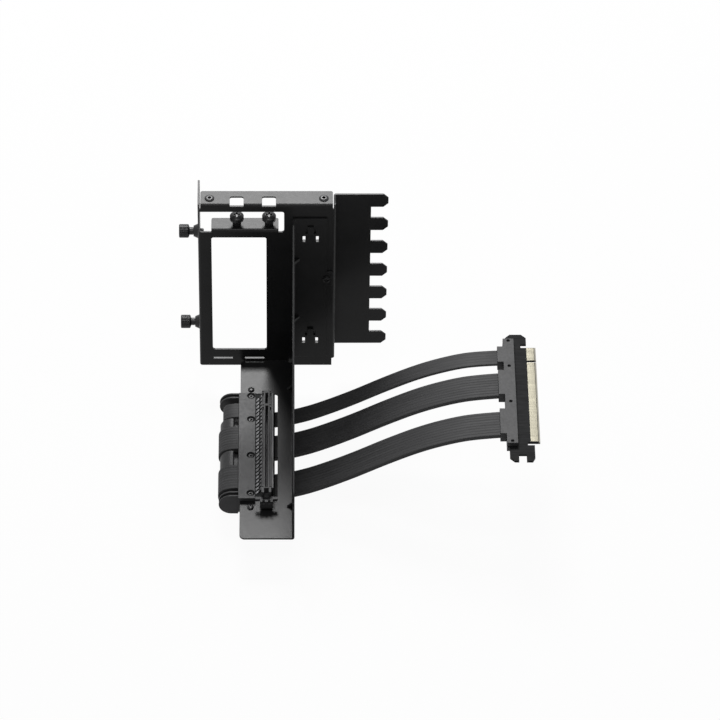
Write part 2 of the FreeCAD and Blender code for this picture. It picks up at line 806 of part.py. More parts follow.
def make_riser():
    """Board, moulded slot, contacts, shield, carrier and cover of the riser in the tray's notch."""
    board_x = (-s.tray_width, -s.notch_right - s.notch_gap)
    board_y = (-s.notch_near + s.board_gap, -s.notch_far - s.board_gap)
    pilot = s.cover_screw_shank + s.hole_clearance
    board = box(board_x, board_y, (TRAY_UNDER, BOARD_TOP))
    holes = [rod(pilot, s.board_thickness, "Z", (x, y, TRAY_UNDER)) for x, y in cover_screw_places()]
    keep(cut(board, *holes), "riser_board")

    middle = -s.slot_across
    half = s.slot_width / 2
    slot_top = BOARD_TOP + s.slot_height
    slit_floor = slot_top - s.slit_depth
    far, near = -s.slot_far, -s.slot_near
    slit = (middle - s.slit_width / 2, middle + s.slit_width / 2)
    key = far - s.slot_key_place
    housing = box((middle - half, middle + half), (near, far), (BOARD_TOP, slot_top))
    tongue = box(
        (middle - s.latch_tongue / 2, middle + s.latch_tongue / 2), (near - s.latch_tongue_length, near),
        (BOARD_TOP + s.latch_bottom, latch_pin()[2] + s.latch_tongue / 2),
    )
    keep(
        cut(
            fuse(housing, tongue),
            box(slit, (key + s.slot_key_width / 2, far - s.slot_end_wall), (slit_floor, slot_top)),
            box(slit, (near + s.slot_tail, key - s.slot_key_width / 2), (slit_floor, slot_top)),
            rod(s.latch_pin_radius + s.thread_clearance, s.latch_tongue, "X",
                (middle - s.latch_tongue / 2, latch_pin()[1], latch_pin()[2])),
        ),
        "slot_housing",
    )

    lead_y = (near + s.slot_tail, far - s.slot_end_wall)
    lead_z = (BOARD_TOP, BOARD_TOP + s.lead_height)
    contact_y = (near + s.slot_tail, -s.cover_far)
    keep(box((middle - half - s.lead_reach, middle - half), contact_y, lead_z), "slot_contacts")
    shield_x = (middle + half, middle + half + s.shield_thickness)
    keep(box(shield_x, lead_y, (BOARD_TOP, slot_top - s.lead_height)), "slot_shield")

    # The carrier lies under the board, with an ear under the tray at each end.
    carrier_right = -s.notch_right - s.notch_gap
    carrier_z = (TRAY_UNDER - s.carrier_thickness, TRAY_UNDER)
    carrier = fuse(
        box((RISER_LEFT, carrier_right), board_y, carrier_z),
        box((-s.tray_width + s.board_gap, carrier_right),
            (-s.notch_near - s.carrier_ear, -s.notch_far + s.carrier_ear), carrier_z),
    )
    tray_pilot = s.tray_screw_shank + s.hole_clearance
    bores = [rod(pilot, s.carrier_thickness, "Z", (x, y, carrier_z[0])) for x, y in cover_screw_places()]
    bores += [rod(tray_pilot, s.carrier_thickness, "Z", (x, y, carrier_z[0])) for x, y in tray_screw_places()]
    keep(cut(carrier, *bores), "riser_carrier")

    # The cover and its sunk screws.
    cover_top = BOARD_TOP + s.cover_thickness
    cover = box((RISER_LEFT, COVER_RIGHT), (-s.cover_near, -s.cover_far), (BOARD_TOP, cover_top))
    sinks, screws = [], []
    head_floor = cover_top - s.cover_screw_sink
    sink_radius = s.cover_screw_head + 2 * s.hole_clearance
    for x, y in cover_screw_places():
        sinks.append(rod(sink_radius, s.cover_screw_sink, "Z", (x, y, head_floor)))
        sinks.append(rod(pilot, s.cover_thickness, "Z", (x, y, BOARD_TOP)))
        head = rod(s.cover_screw_head, s.cover_screw_sink / 2, "Z", (x, y, head_floor))
        shank = rod(s.cover_screw_shank, head_floor - carrier_z[0], "Z", (x, y, carrier_z[0]))
        screws.append(fuse(head, shank))
    keep(cut(cover, *sinks), "riser_cover")
    keep(group(*screws), "cover_screws")

    tray_screws = []
    for x, y in tray_screw_places():
        head = cone(s.tray_screw_head, s.tray_screw_shank, s.tray_screw_shank, "Z", (x, y, s.tray_top))
        shank = rod(s.tray_screw_shank, s.tray_top - carrier_z[0], "Z", (x, y, carrier_z[0]))
        tray_screws.append(fuse(head, shank))
    keep(group(*tray_screws), "tray_screws")


def latch_pin():
    """The latch turns about an axis along X through this point."""
    return (
        -s.slot_across,
        -s.slot_near - s.latch_tongue_length / 2,
        BOARD_TOP + s.latch_bottom + s.latch_tongue / 2,
    )


def make_latch():
    """The lever at the end of the slot, forked over the housing's tongue."""
    x, y, z = latch_pin()
    rear = -s.slot_near - s.latch_gap
    front = rear - s.latch_length
    bottom = BOARD_TOP + s.latch_bottom
    top = bottom + s.latch_height
    half = s.latch_width / 2
    fork = s.latch_tongue / 2 + s.latch_play
    fork_front = -s.slot_near - s.latch_tongue_length - s.latch_play * 2
    lever = box((x - half, x + half), (front, rear), (bottom, top))
    wings = box((x - half - s.latch_wing, x + half + s.latch_wing), (front + s.latch_length / 2, rear),
                (top - s.latch_height / 3, top))
    slot = box((x - fork, x + fork), (fork_front, rear), (bottom, top))
    pin = rod(s.latch_pin_radius, 2 * fork, "X", (x - fork, y, z))
    keep(fuse(cut(fuse(lever, wings), slot), pin), "slot_latch")


def make_loop_guide():
    """The moulded guide of the ribbons: a core, two grooved caps and ribs in the gaps between the ribbons."""
    across, height = -s.loop_across, -s.loop_drop
    far, near = -s.guide_far, -s.guide_near
    pieces = [rod(s.guide_core_radius, far - near, "Y", (across, near, height))]
    for start in (near, far - s.guide_cap_thickness):
        end = start + s.guide_cap_thickness
        for low, high, radius in (
            (start, start + s.guide_flange, s.guide_cap_radius),
            (start + s.guide_flange, end - s.guide_flange, s.guide_groove_radius),
            (end - s.guide_flange, end, s.guide_cap_radius),
        ):
            pieces.append(rod(radius, high - low, "Y", (across, low, height)))
            pieces.append(box((across, RISER_LEFT), (low, high), (height - radius, height + radius)))
    gaps = (
        (s.far_ribbon_start + s.far_ribbon_width, s.middle_ribbon_start),
        (s.middle_ribbon_start + s.middle_ribbon_width, s.near_ribbon_start),
    )
    trims = []
    for far_side, near_side in gaps:
        start, end = -near_side + s.board_gap, -far_side - s.board_gap
        floor = TRAY_UNDER - s.carrier_thickness
        shelf = floor + s.carrier_thickness / 3
        pieces.append(rod(s.guide_rib_radius, end - start, "Y", (across, start, height)))
        pieces.append(box((across, RISER_LEFT), (start, end), (floor, shelf)))
        trims.append(box((RISER_LEFT - s.guide_rib_gap, RISER_LEFT), (start, end),
                         (shelf, height + s.guide_rib_radius)))
    trims.append(box((RISER_LEFT, RISER_LEFT + s.loop_across), (near, far),
                     (height - s.guide_cap_radius, height + s.guide_cap_radius)))
    keep(cut(fuse(*pieces), *trims), "loop_guide")


def ribbon_route(thickness, loop_radius, drop):
    """Corners of a ribbon's middle line, from the cover round the guide and under the tray to the plug."""
    left = -s.loop_across - loop_radius
    start = RISER_LEFT - s.hole_clearance
    route = [
        (start, loop_radius - drop),
        (left, loop_radius - drop),
        (left, -loop_radius - drop),
    ]
    route += [(x, z - thickness / 2) for x, z in RIBBON_TOP]
    route.append((s.ribbon_end - s.ribbon_gap, s.plug_middle))
    return [Vector(float(x), 0, float(z)) for x, z in route]


def rounded_path(route, label):
    """Straight runs joined by tangent arcs, each as large as its two runs allow."""
    edges = []
    radii = []
    start = route[0]
    for before, corner, after in zip(route, route[1:], route[2:]):
        into, out = corner - before, after - corner
        turn = into.getAngle(out)
        setback = ARC_SHARE * min(into.Length, out.Length)
        radii.append(setback / math.tan(turn / 2))
        into.normalize()
        out.normalize()
        arc_start, arc_end = corner - into * setback, corner + out * setback
        bisector = (out - into).normalize()
        centre = corner + bisector * math.hypot(setback, radii[-1])
        edges.append(Part.LineSegment(start, arc_start).toShape())
        edges.append(Part.Arc(arc_start, centre - bisector * radii[-1], arc_end).toShape())
        start = arc_end
    edges.append(Part.LineSegment(start, route[-1]).toShape())
    path = Part.Wire(edges)
    print(f"{label}: length {path.Length:.1f}, arc radii {[round(radius, 1) for radius in radii]}")
    return path


def make_ribbon(label, start, width, thickness, loop_radius, drop):
    """A flat cable: its section carried along its route in the XZ plane."""
    path = rounded_path(ribbon_route(thickness, loop_radius, drop), label)
    begin = path.Vertexes[0].Point
    half = float(thickness) / 2
    near = -float(start) - float(width)
    corners = [
        Vector(begin.x, near, begin.z - half),
        Vector(begin.x, near + float(width), begin.z - half),
        Vector(begin.x, near + float(width), begin.z + half),
        Vector(begin.x, near, begin.z + half),
    ]
    path.translate(Vector(0, near + float(width) / 2, 0))
    solid = path.makePipeShell([Part.makePolygon(corners + corners[:1])], True, False)
    expected = float(width) * float(thickness) * path.Length
    assert abs(solid.Volume / expected - 1) < 0.01, f"{label}: volume is off its section times its length"
    ribbon = doc.addObject("Part::Feature", "Ribbon")
    ribbon.Shape = solid
    ribbon.Placement = FreeCAD.Placement(-Vector(*map(float, ORIGIN)), Rotation())
    keep(ribbon, label)


def make_ribbons():
    thin = (s.thin_ribbon_thickness, s.thin_ribbon_loop_radius, s.thin_loop_drop)
    thick = (s.ribbon_thickness, s.ribbon_loop_radius, s.loop_drop)
    make_ribbon("ribbon_far", s.far_ribbon_start, s.far_ribbon_width, *thin)
    make_ribbon("ribbon_middle", s.middle_ribbon_start, s.middle_ribbon_width, *thick)
    make_ribbon("ribbon_near", s.near_ribbon_start, s.near_ribbon_width, *thick)


def make_plug():
    """The edge plug: board, gold fingers, two clamp halves and their rivets."""
    left = s.ribbon_end + s.hood_reach
    board_left = left + s.plug_board_inset
    right = left + s.plug_board_width
    tip = right + s.edge_length
    far, near = -s.plug_far, -s.plug_near
    edge_far, edge_near = -s.edge_far, -s.edge_near
    key = edge_far - s.edge_key_place
    key_end = key - s.edge_key_width
    slit = edge_far + s.edge_slit_width
    notch = right - s.edge_notch_setback
    tail = right + s.tail_reach
    base = s.plug_middle - s.plug_board_thickness / 2
    board = new_body("PlugBoard")
    shape = [
        (board_left + s.plug_corner, far), (board_left, far - s.plug_corner),
        (board_left, near + s.plug_corner), (board_left + s.plug_corner, near),
        (notch, near), (notch, near + s.edge_notch_depth),
        (notch + s.edge_notch_width, near + s.edge_notch_depth), (notch + s.edge_notch_width, near),
        (tail - s.plug_corner / 2, near), (tail, near + s.plug_corner), (tail, edge_near - s.tail_slit),
        (right - s.edge_slit_depth / 2, edge_near - s.tail_slit), (right - s.edge_slit_depth / 2, edge_near),
        (tip, edge_near), (tip, key_end), (right, key_end),
        (right, key), (tip, key), (tip, edge_far),
        (right - s.edge_slit_depth, edge_far), (right - s.edge_slit_depth, slit), (right, slit),
        (right, far - s.plug_corner), (right - s.plug_corner, far),
    ]
    pad(board, outline(board, "XY", base, shape), s.plug_board_thickness)
    pilot = s.plug_rivet_radius + s.hole_clearance / 2
    drill(board, pilot, "XY", s.plug_middle, plug_rivet_places(), s.plug_board_thickness)
    keep(board, "plug_board")

    fingers = []
    for level in (base - s.finger_thickness, base + s.plug_board_thickness):
        height = (level, level + s.finger_thickness)
        for low, high in ((key, edge_far), (edge_near, key_end)):
            span = (low + s.finger_margin, high - s.finger_margin)
            fingers.append(box((right, right + s.finger_length), span, height))
    keep(group(*fingers), "plug_fingers")

    ribbons = (
        (s.far_ribbon_start, s.far_ribbon_width),
        (s.middle_ribbon_start, s.middle_ribbon_width),
        (s.near_ribbon_start, s.near_ribbon_width),
    )
    above = base + s.plug_board_thickness
    for label, inner, outer in (
        ("plug_clamp_upper", above, above + s.clamp_thickness),
        ("plug_clamp_lower", base, base - s.clamp_thickness),
    ):
        low, high = (inner, outer) if outer > inner else (outer, inner)
        pieces = [box((left, left + s.clamp_width), (-s.clamp_near, -s.clamp_far), (low, high))]
        hood = (s.plug_middle, high) if outer > inner else (low, s.plug_middle)
        for start, width in ribbons:
            across = (-start - width - s.hood_margin, -start + s.hood_margin)
            pieces.append(box((s.ribbon_end, left), across, hood))
        holes = [rod(pilot, s.clamp_thickness, "Z", (x, y, low)) for x, y in plug_rivet_places()]
        keep(cut(fuse(*pieces), *holes), label)

    foot = base - s.clamp_thickness + s.plug_rivet_sink
    length = s.plug_board_thickness + 2 * (s.clamp_thickness - s.plug_rivet_sink)
    rivets = [rod(s.plug_rivet_radius, length, "Z", (x, y, foot)) for x, y in plug_rivet_places()]
    keep(group(*rivets), "plug_rivets")


def plug_rivet_places():
    """Between and beside the ribbons, in the middle of the clamp."""
    across = s.ribbon_end + s.hood_reach + s.clamp_width / 2
    return [
        (across, -s.clamp_far - s.plug_rivet_inset / 2),
        (across, -(s.far_ribbon_start + s.far_ribbon_width + s.middle_ribbon_start) / 2),
        (across, -(s.middle_ribbon_start + s.middle_ribbon_width + s.near_ribbon_start) / 2),
        (across, -s.clamp_near + s.plug_rivet_inset / 2),
    ]


make_mounting_bracket()
make_support_arm()
make_thumbscrews()
make_fasteners()
make_riser()
make_latch()
make_loop_guide()
make_ribbons()
make_plug()
doc.recompute()

for item in doc.Objects:
    assert not {"Invalid", "Error"} & set(item.State), f"{item.Name} did not recompute: {item.State}"
for node in nodes:
    assert not node.Shape.isNull() and node.Shape.isValid(), f"{node.Label} is not a valid shape"
    assert node.Shape.Solids, f"{node.Label} holds no solid"

os.makedirs("parts", exist_ok=True)
for node in nodes:
    node.Shape.exportStep(f"parts/{node.Label}.step")
    print(f"{node.Label}: {len(node.Shape.Solids)} solids, {node.Shape.Volume:.1f} mm3")
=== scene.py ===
"""Looks of the vertical card bracket: finishes, ribbon cables, contacts, fasteners, studio light and camera."""

import json
import math

import bpy
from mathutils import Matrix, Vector


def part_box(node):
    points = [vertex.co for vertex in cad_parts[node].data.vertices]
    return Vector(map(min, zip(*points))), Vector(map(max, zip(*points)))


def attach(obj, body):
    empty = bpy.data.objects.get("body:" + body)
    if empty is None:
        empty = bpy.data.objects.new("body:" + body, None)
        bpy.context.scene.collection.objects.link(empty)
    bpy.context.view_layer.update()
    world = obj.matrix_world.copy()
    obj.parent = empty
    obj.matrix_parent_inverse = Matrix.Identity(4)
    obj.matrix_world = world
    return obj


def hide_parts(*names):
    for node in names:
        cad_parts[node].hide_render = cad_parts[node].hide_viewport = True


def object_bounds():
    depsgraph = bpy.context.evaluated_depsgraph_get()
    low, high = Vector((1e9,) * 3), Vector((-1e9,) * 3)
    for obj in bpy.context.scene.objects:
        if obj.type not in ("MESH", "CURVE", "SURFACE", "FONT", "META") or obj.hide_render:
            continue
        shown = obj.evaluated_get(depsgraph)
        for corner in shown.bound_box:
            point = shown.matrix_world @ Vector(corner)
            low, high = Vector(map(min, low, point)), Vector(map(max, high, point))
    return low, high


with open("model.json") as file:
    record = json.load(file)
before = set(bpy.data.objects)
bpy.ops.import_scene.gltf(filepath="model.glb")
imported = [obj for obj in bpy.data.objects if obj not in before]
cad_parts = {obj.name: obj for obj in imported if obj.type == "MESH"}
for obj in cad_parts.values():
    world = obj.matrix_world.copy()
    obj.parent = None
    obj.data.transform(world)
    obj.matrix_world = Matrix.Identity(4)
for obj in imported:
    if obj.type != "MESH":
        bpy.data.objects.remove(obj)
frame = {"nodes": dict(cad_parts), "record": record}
nodes = frame["nodes"]
cad_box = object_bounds()
bpy.ops.object.select_all(action="DESELECT")

MM = 0.001
# The part's origin in the drawing frame, whose zero is the arm's wall, the plate's front and its bottom edge.
ORIGIN = Vector((37.25, 16.25, 71.4))


def at(x, y, z):
    """A point of the drawing frame, in millimetres, as metres in the part's frame."""
    return (Vector((x, y, z)) - ORIGIN) * MM


def drawn(corners):
    """The two corners of a box in the drawing frame, in millimetres."""
    return [corner / MM + ORIGIN for corner in corners]


# Finishes

def add_node(tree, kind, **values):
    node = tree.nodes.new(kind)
    for name, value in values.items():
        node.inputs[name.replace("_", " ")].default_value = value
    return node


def new_finish(name, roughness, specular, metallic=0.0):
    material = bpy.data.materials.new(name)
    material.use_nodes = True
    shader = material.node_tree.nodes["Principled BSDF"]
    shader.inputs["Roughness"].default_value = roughness
    shader.inputs["Specular IOR Level"].default_value = specular
    shader.inputs["Metallic"].default_value = metallic
    return material


def noise(material, scale, stretch=(1, 1, 1), detail=3.0):
    tree = material.node_tree
    place = add_node(tree, "ShaderNodeTexCoord")
    mapping = add_node(tree, "ShaderNodeMapping", Scale=stretch)
    texture = add_node(tree, "ShaderNodeTexNoise", Scale=scale, Detail=detail)
    tree.links.new(place.outputs["Object"], mapping.inputs["Vector"])
    tree.links.new(mapping.outputs["Vector"], texture.inputs["Vector"])
    return texture.outputs["Fac"]


def mottle(material, dark, pale, scale, stretch=(1, 1, 1)):
    """Base colour that drifts between two tones."""
    tree = material.node_tree
    ramp = add_node(tree, "ShaderNodeValToRGB")
    ramp.color_ramp.elements[0].position = 0.35
    ramp.color_ramp.elements[1].position = 0.65
    ramp.color_ramp.elements[0].color = (*dark, 1)
    ramp.color_ramp.elements[1].color = (*pale, 1)
    tree.links.new(noise(material, scale, stretch), ramp.inputs["Fac"])
    tree.links.new(ramp.outputs["Color"], tree.nodes["Principled BSDF"].inputs["Base Color"])


def uneven_gloss(material, low, high, scale, stretch=(1, 1, 1)):
    tree = material.node_tree
    spread = add_node(tree, "ShaderNodeMapRange", From_Min=0.3, From_Max=0.7, To_Min=low, To_Max=high)
    tree.links.new(noise(material, scale, stretch), spread.inputs["Value"])
    tree.links.new(spread.outputs["Result"], tree.nodes["Principled BSDF"].inputs["Roughness"])


def grain(material, scale, depth, stretch=(1, 1, 1)):
    """Fine relief on the surface, its depth in millimetres."""
    tree = material.node_tree
    bump = add_node(tree, "ShaderNodeBump", Strength=1.0, Distance=depth * MM)
    tree.links.new(noise(material, scale, stretch), bump.inputs["Height"])
    tree.links.new(bump.outputs["Normal"], tree.nodes["Principled BSDF"].inputs["Normal"])


def bare_core_and_painted_highlight(material, start, colour):
    """Paint another colour past a place along X: a board's bare core where it is cut through, and a painted
    highlight of its lit edge.
    """
    tree = material.node_tree
    base = tree.nodes["Principled BSDF"].inputs["Base Color"]
    place = add_node(tree, "ShaderNodeTexCoord")
    split = add_node(tree, "ShaderNodeSeparateXYZ")
    past = add_node(tree, "ShaderNodeMath")
    past.operation = "GREATER_THAN"
    past.inputs[1].default_value = start
    blend = tree.nodes.new("ShaderNodeMixRGB")
    blend.inputs["Color2"].default_value = (*colour, 1)
    tree.links.new(place.outputs["Object"], split.inputs["Vector"])
    tree.links.new(split.outputs["X"], past.inputs[0])
    tree.links.new(past.outputs[0], blend.inputs["Fac"])
    tree.links.new(base.links[0].from_socket, blend.inputs["Color1"])
    tree.links.new(blend.outputs["Color"], base)


# How far the plug's board is painted pale from its outer end inwards: its bare core, and a painted highlight of its
# lit edge.
BARE_CORE_AND_PAINTED_HIGHLIGHT = 0.9


def make_finishes():
    coat = new_finish("powder_coat", 0.3, 0.125)
    mottle(coat, (0.009, 0.009, 0.0094), (0.0125, 0.0125, 0.013), 55)
    uneven_gloss(coat, 0.285, 0.315, 400)
    grain(coat, 2600, 0.01)

    oxide = new_finish("black_oxide", 0.3, 0.25)
    mottle(oxide, (0.013, 0.013, 0.0137), (0.023, 0.023, 0.0244), 300)
    uneven_gloss(oxide, 0.26, 0.36, 900)
    grain(oxide, 4000, 0.006)

    moulded = new_finish("moulded_plastic", 0.43, 0.13)
    mottle(moulded, (0.037, 0.037, 0.0382), (0.046, 0.046, 0.0475), 120)
    uneven_gloss(moulded, 0.39, 0.47, 700)
    grain(moulded, 3200, 0.012)

    mask = new_finish("solder_mask", 0.5, 0.035)
    mottle(mask, (0.006, 0.0062, 0.0066), (0.013, 0.0133, 0.014), 260, (0.3, 2.5, 1))
    uneven_gloss(mask, 0.44, 0.54, 500, (0.3, 2.5, 1))
    grain(mask, 700, 0.012, (0.15, 2.5, 1))
    # The board's outer end is painted pale: its bare core, and a painted highlight of the lit edge.
    bare_core_and_painted_highlight(mask, cad_box[1].x - BARE_CORE_AND_PAINTED_HIGHLIGHT * MM, (0.34, 0.325, 0.28))

    jacket = new_finish("cable_jacket", 0.48, 0.05)
    mottle(jacket, (0.049, 0.049, 0.0502), (0.06, 0.06, 0.0615), 150, (0.25, 3, 0.25))
    uneven_gloss(jacket, 0.43, 0.53, 500, (0.3, 3, 0.3))
    grain(jacket, 2500, 0.01)

    plate = new_finish("plated_steel", 0.5, 0.3, 0.6)
    mottle(plate, (0.035, 0.035, 0.036), (0.064, 0.064, 0.0659), 400, (1, 0.1, 1))
    uneven_gloss(plate, 0.44, 0.56, 900, (1, 0.06, 1))

    gold = new_finish("gold_plate", 0.62, 0.2, 0.25)
    mottle(gold, (0.44, 0.415, 0.327), (0.53, 0.5, 0.392), 350, (0.2, 2, 1))
    uneven_gloss(gold, 0.56, 0.68, 900, (0.1, 2, 1))
    return {
        "black_steel": coat, "black_metal": oxide, "black_plastic": moulded, "board": mask,
        "ribbon": jacket, "steel": plate, "gold": gold,
    }


finishes = make_finishes()
node_slots = {entry["node"]: entry["material_slot"] for entry in frame["record"]["subparts"]}
for node_name, node in nodes.items():
    node.data.materials.clear()
    node.data.materials.append(finishes[node_slots[node_name]])


# Modelling helpers

# Edges that turn by more than this many degrees count as sharp, and points nearer than this many mm are one.
SHARP = 40
MERGE = 0.002


def take_up(piece):
    bpy.ops.object.select_all(action="DESELECT")
    piece.select_set(True)
    bpy.context.view_layer.objects.active = piece


def apply_modifiers(piece):
    take_up(piece)
    for modifier in list(piece.modifiers):
        bpy.ops.object.modifier_apply(modifier=modifier.name)


def settle(piece):
    """Put a piece's place, turn and size into its mesh."""
    take_up(piece)
    bpy.ops.object.transform_apply(location=True, rotation=True, scale=True)


def join(name, pieces):
    bpy.ops.object.select_all(action="DESELECT")
    for piece in pieces:
        piece.select_set(True)
    bpy.context.view_layer.objects.active = pieces[0]
    if len(pieces) > 1:
        bpy.ops.object.join()
    pieces[0].name = name
    pieces[0].data.name = name
    return pieces[0]


def finish_piece(piece, slot, body="frame", stands_for=(), angle=35):
    take_up(piece)
    piece.data.materials.clear()
    piece.data.materials.append(finishes[slot])
    bpy.ops.object.shade_smooth_by_angle(angle=math.radians(angle))
    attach(piece, body)
    if stands_for:
        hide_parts(*stands_for)
    return piece


def round_over(piece, width, segments=2):
    """Round the sharp edges of a piece, the width in millimetres."""
    bevel = piece.modifiers.new("edges", "BEVEL")
    bevel.width = width * MM
    bevel.segments = segments
    bevel.limit_method = "ANGLE"
    bevel.angle_limit = math.radians(SHARP)
    bevel.use_clamp_overlap = False
    apply_modifiers(piece)


def round_long_edges(piece, width, shortest):
    """Round the sharp edges that are longer than a given length, sizes in millimetres."""
    take_up(piece)
    bpy.ops.object.mode_set(mode="EDIT")
    bpy.ops.mesh.select_mode(type="EDGE")
    bpy.ops.mesh.select_all(action="DESELECT")
    bpy.ops.mesh.edges_select_sharp(sharpness=math.radians(SHARP))
    bpy.ops.object.mode_set(mode="OBJECT")
    mesh = piece.data
    long_edges = []
    for edge in mesh.edges:
        first, second = (mesh.vertices[corner].co for corner in edge.vertices)
        if edge.select and (second - first).length > shortest * MM:
            long_edges.append(edge.index)
    for part in (mesh.vertices, mesh.edges, mesh.polygons):
        part.foreach_set("select", [False] * len(part))
    for index in long_edges:
        mesh.edges[index].select = True
    bpy.ops.object.mode_set(mode="EDIT")
    bpy.ops.mesh.bevel(offset=width * MM, segments=2, affect="EDGES", clamp_overlap=False)
    bpy.ops.mesh.select_mode(type="VERT")
    bpy.ops.object.mode_set(mode="OBJECT")


def even_shading(piece):
    """Shade the broad faces flat up to their rounded edges."""
    normals = piece.modifiers.new("shading", "WEIGHTED_NORMAL")
    normals.weight = 80
    normals.keep_sharp = True
    apply_modifiers(piece)
    return piece


def merged_copy(name, node):
    """A copy of a CAD node with its loose triangles merged into whole faces."""
    piece = bpy.data.objects.new(name, nodes[node].data.copy())
    piece.data.name = name
    bpy.context.scene.collection.objects.link(piece)
    take_up(piece)
    bpy.ops.mesh.customdata_custom_splitnormals_clear()
    bpy.ops.object.mode_set(mode="EDIT")
    bpy.ops.mesh.select_all(action="SELECT")
    bpy.ops.mesh.remove_doubles(threshold=MERGE * MM)
    bpy.ops.mesh.dissolve_limited(angle_limit=math.radians(0.5))
    bpy.ops.object.mode_set(mode="OBJECT")
    return piece


def cut_with(piece, tool, operation="DIFFERENCE"):
    """Cut a piece with another one, or join or trim it, and use the other one up."""
    cutting = piece.modifiers.new("cut", "BOOLEAN")
    cutting.operation = operation
    cutting.solver = "EXACT"
    cutting.object = tool
    apply_modifiers(piece)
    bpy.data.objects.remove(tool)
    return piece


def softened(name, node, width, body="frame", cuts=()):
    """A merged copy of a CAD node, cut and with its sharp edges rounded, which stands for the node."""
    piece = merged_copy(name, node)
    for tool in cuts:
        cut_with(piece, tool)
    round_over(piece, width)
    return even_shading(finish_piece(piece, node_slots[node], body, [node]))


def block(x, y, z, bevel=0.0):
    """A block between pairs of planes of the drawing frame, with its edges rounded."""
    low, high = at(x[0], y[0], z[0]), at(x[1], y[1], z[1])
    bpy.ops.mesh.primitive_cube_add(size=1, location=(low + high) / 2)
    piece = bpy.context.object
    piece.scale = high - low
    settle(piece)
    if bevel:
        round_over(piece, bevel)
    return piece


def turned(centre, profile, vertices=32):
    """A round piece on an upright axis: a ring extruded and sized from step to step of (radius, height)."""
    radius, height = profile[0]
    foot = centre + Vector((0, 0, height * MM))
    bpy.ops.mesh.primitive_circle_add(vertices=vertices, radius=radius * MM, location=foot)
    piece = bpy.context.object
    bpy.ops.object.mode_set(mode="EDIT")
    bpy.ops.mesh.select_all(action="SELECT")
    for (radius, height), (next_radius, next_height) in zip(profile, profile[1:]):
        rise = (0, 0, (next_height - height) * MM)
        size = next_radius / radius
        bpy.ops.mesh.extrude_region_move(TRANSFORM_OT_translate={"value": rise})
        bpy.ops.transform.resize(value=(size, size, 1), center_override=centre)
    bpy.ops.mesh.select_all(action="SELECT")
    bpy.ops.mesh.remove_doubles(threshold=MERGE * MM)
    bpy.ops.mesh.fill_holes(sides=0)
    bpy.ops.mesh.normals_make_consistent(inside=False)
    bpy.ops.object.mode_set(mode="OBJECT")
    settle(piece)
    return piece


def bent_strip(start, steps, width, thickness, tilt=math.pi / 2):
    """A strip of sheet, extruded from its end face along steps in X, Y and Z, all in millimetres."""
    bpy.ops.mesh.primitive_plane_add(size=1, location=start, rotation=(0, tilt, 0))
    piece = bpy.context.object
    piece.scale = (thickness * MM, width * MM, 1)
    settle(piece)
    bpy.ops.object.mode_set(mode="EDIT")
    bpy.ops.mesh.select_all(action="SELECT")
    for step in steps:
        bpy.ops.mesh.extrude_region_move(TRANSFORM_OT_translate={"value": Vector(step) * MM})
    bpy.ops.mesh.select_all(action="SELECT")
    bpy.ops.mesh.fill_holes(sides=0)
    bpy.ops.mesh.normals_make_consistent(inside=False)
    bpy.ops.object.mode_set(mode="OBJECT")
    return piece


def row_of(piece, count, pitch):
    """Repeat a piece towards the front, the pitch in millimetres."""
    array = piece.modifiers.new("row", "ARRAY")
    array.use_relative_offset = False
    array.use_constant_offset = True
    array.constant_offset_displace = (0, -pitch * MM, 0)
    array.count = count
    apply_modifiers(piece)
    return piece


def cut_cross(piece, centre, span, width, depth):
    """Sink a cross recess into the top of a screw head, sizes in millimetres."""
    for size in ((span, width, 2 * depth), (width, span, 2 * depth)):
        bpy.ops.mesh.primitive_cube_add(size=1, location=centre)
        cutter = bpy.context.object
        cutter.scale = Vector(size) * MM
        settle(cutter)
        cut_with(piece, cutter)
    return piece


# Ribbon cables

# The ribbons' upper surface from under the tray to the plug, X and Z in the drawing frame.
RIBBON_TOP = (
    (-28.0, -5.2), (-12.0, -3.3), (1.0, 0.0), (14.0, 5.0), (36.0, 16.5), (58.0, 30.0), (80.0, 41.9),
    (99.5, 49.2), (114.0, 52.6),
)
RIBBON_START, RIBBON_END = -35.55, 128.55
PLUG_MIDDLE = 52.5
LOOP_ACROSS = 39.7


def ribbon_route(thickness, loop_radius, drop):
    """Control points of a ribbon's middle line: the cover, round the guide, under the tray and on to the plug."""
    left = -LOOP_ACROSS - loop_radius
    route = [(RIBBON_START, loop_radius - drop), (left, loop_radius - drop), (left, -loop_radius - drop)]
    route += [(x, z - thickness / 2) for x, z in RIBBON_TOP]
    return route + [(RIBBON_END, PLUG_MIDDLE)]


def smooth_line(route, y):
    """Points of the smooth curve that has the route as its control points."""
    curve = bpy.data.curves.new("route", "CURVE")
    curve.dimensions = "3D"
    curve.resolution_u = 14
    spline = curve.splines.new("NURBS")
    spline.points.add(len(route) - 1)
    for point, (x, z) in zip(spline.points, route):
        point.co = (*at(x, y, z), 1)
    spline.order_u = 3
    spline.use_endpoint_u = True
    carrier = bpy.data.objects.new("route", curve)
    bpy.context.scene.collection.objects.link(carrier)
    line = bpy.data.meshes.new_from_object(carrier)
    points = [vertex.co.copy() for vertex in line.vertices]
    bpy.data.objects.remove(carrier)
    bpy.data.curves.remove(curve)
    bpy.data.meshes.remove(line)
    return points


# Where the points of a rib lie along its width.
RIB_STEPS = (0.0, 0.07, 0.2, 0.5, 0.8, 0.93)


def ribbed_section(width, thickness, ribs, depth):
    """Corners of a flat cable's section as (across, off the middle), millimetres, ribbed on both faces."""
    pitch = width / ribs
    upper = []
    for rib in range(ribs):
        for step in RIB_STEPS:
            valley = (1 - math.sin(math.pi * step)) ** 3
            upper.append((-width / 2 + pitch * (rib + step), thickness / 2 - depth * valley))
    upper.append((width / 2, thickness / 2 - depth))
    return upper + [(across, -off) for across, off in reversed(upper)]


